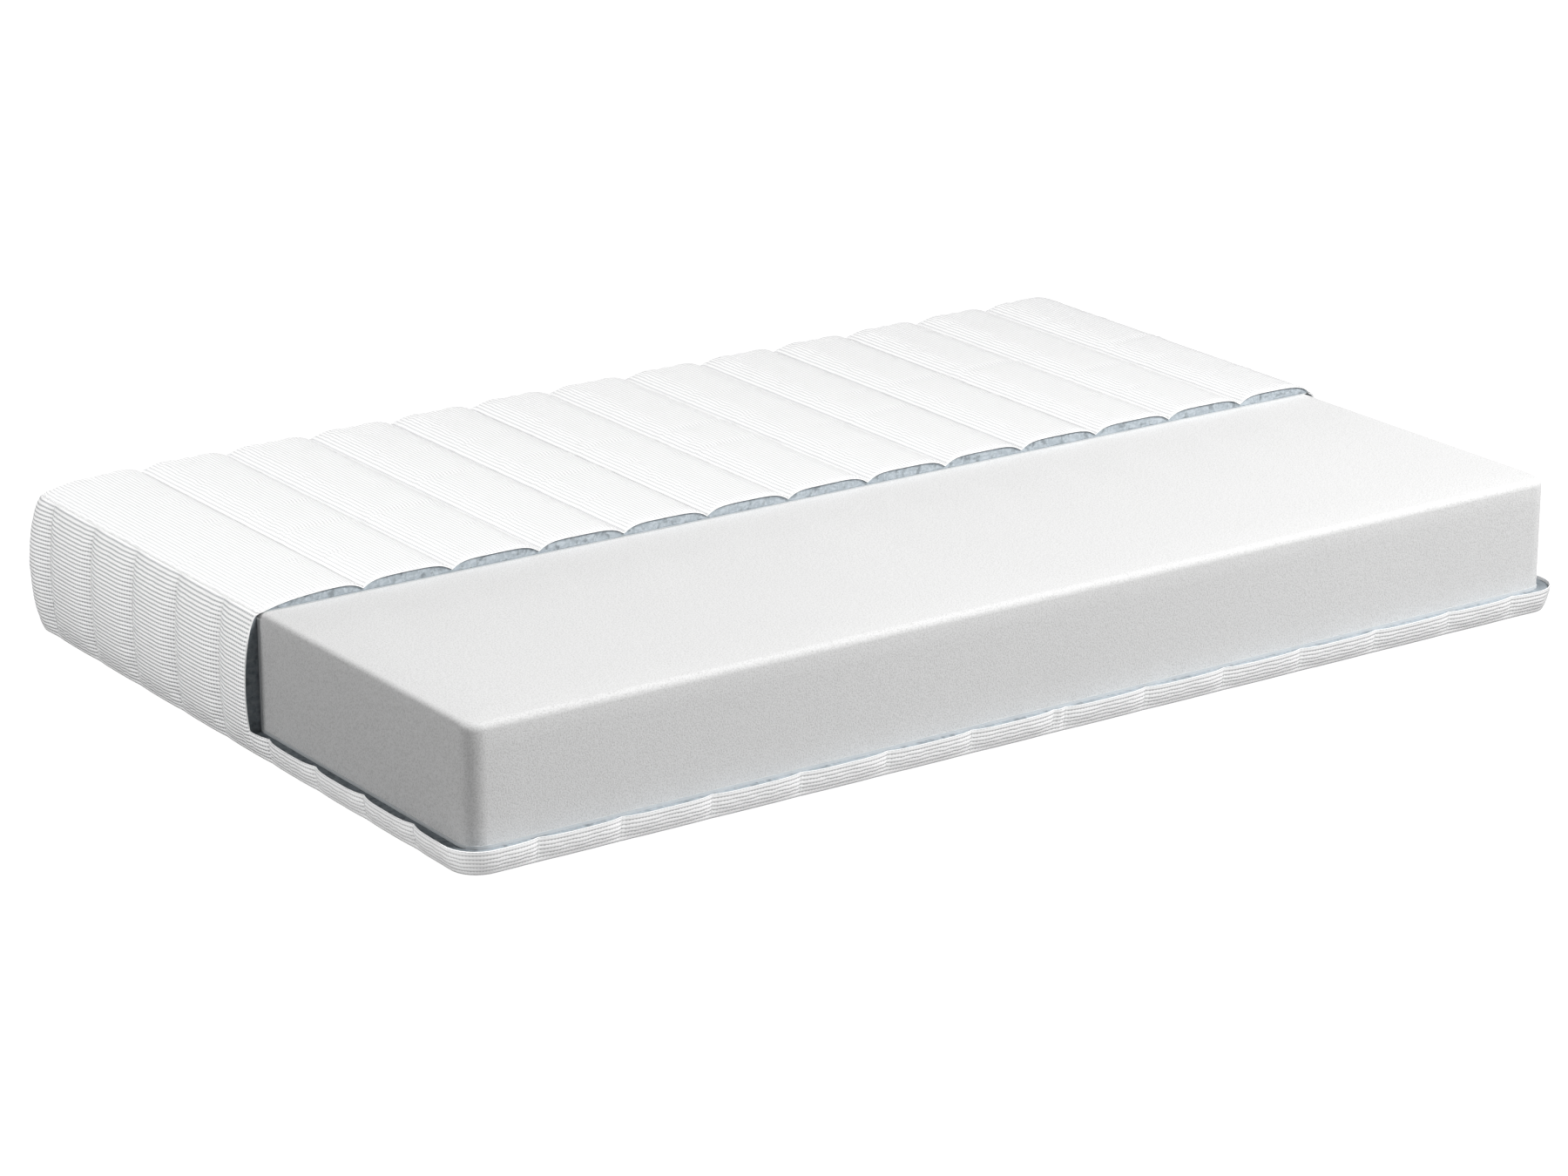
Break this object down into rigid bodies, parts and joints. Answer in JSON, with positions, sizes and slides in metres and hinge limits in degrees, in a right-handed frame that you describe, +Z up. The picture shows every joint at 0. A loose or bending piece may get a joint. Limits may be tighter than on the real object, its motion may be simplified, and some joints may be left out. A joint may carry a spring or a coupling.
{
  "type": "memory foam mattress",
  "caption": "Foam block mattress in a quilted, wadded knit cover with a zip, shown cut away along its front half.",
  "frame": {"origin": "middle of the underside, on the surface the mattress lies on", "axes": "+X along the mattress's length, -Y towards the long side whose cover is cut away, +Z up"},
  "size_m": [2.029, 1.3234, 0.2333],
  "materials": {
    "foam": "open-cell foam, matt, fine grain",
    "knit": "white waffle knit, soft matt",
    "wadding": "pale blue-grey fibre wadding with dark and light flecks",
    "lining": "thin non-woven backing",
    "thread": "white polyester sewing thread",
    "zip_tape": "white woven zip tape",
    "zip_coil": "white polyester coil",
    "zip_metal": "plated zinc, satin"
  },
  "bodies": {
    "mattress": {"base_edge_seam": "thread", "base_knit": "knit", "base_lining": "lining", "base_quilt_thread_01": "thread", "base_quilt_thread_02": "thread", "base_quilt_thread_03": "thread", "base_quilt_thread_04": "thread", "base_quilt_thread_05": "thread", "base_quilt_thread_06": "thread", "base_quilt_thread_07": "thread", "base_quilt_thread_08": "thread", "base_quilt_thread_09": "thread", "base_quilt_thread_10": "thread", "base_quilt_thread_11": "thread", "base_quilt_thread_12": "thread", "base_wadding": "wadding", "border_knit": "knit", "border_lining": "lining", "border_wadding": "wadding", "foam_core": "foam", "top_edge_seam": "thread", "top_knit": "knit", "top_lining": "lining", "top_quilt_thread_01": "thread", "top_quilt_thread_02": "thread", "top_quilt_thread_03": "thread", "top_quilt_thread_04": "thread", "top_quilt_thread_05": "thread", "top_quilt_thread_06": "thread", "top_quilt_thread_07": "thread", "top_quilt_thread_08": "thread", "top_quilt_thread_09": "thread", "top_quilt_thread_10": "thread", "top_quilt_thread_11": "thread", "top_quilt_thread_12": "thread", "top_wadding": "wadding", "zip_coil_lower": "zip_coil", "zip_coil_upper": "zip_coil", "zip_stop_closed": "zip_metal", "zip_stop_open": "zip_metal", "zip_tape_lower": "zip_tape", "zip_tape_upper": "zip_tape"},
    "zip_slider": {"zip_slider": "zip_metal"},
    "zip_pull_tab": {"zip_pull_tab": "zip_metal"}
  },
  "joints": [
    {"name": "zip_run", "type": "slide", "parent": "mattress", "child": "zip_slider", "axis": [1, 0, 0], "range_m": [0, 1.82]},
    {"name": "pull_tab_swing", "type": "hinge", "parent": "zip_slider", "child": "zip_pull_tab", "pos_m": [-0.912, 0.64593, 0.116], "axis": [0, 0, 1], "range_deg": [0, 180]}
  ]
}
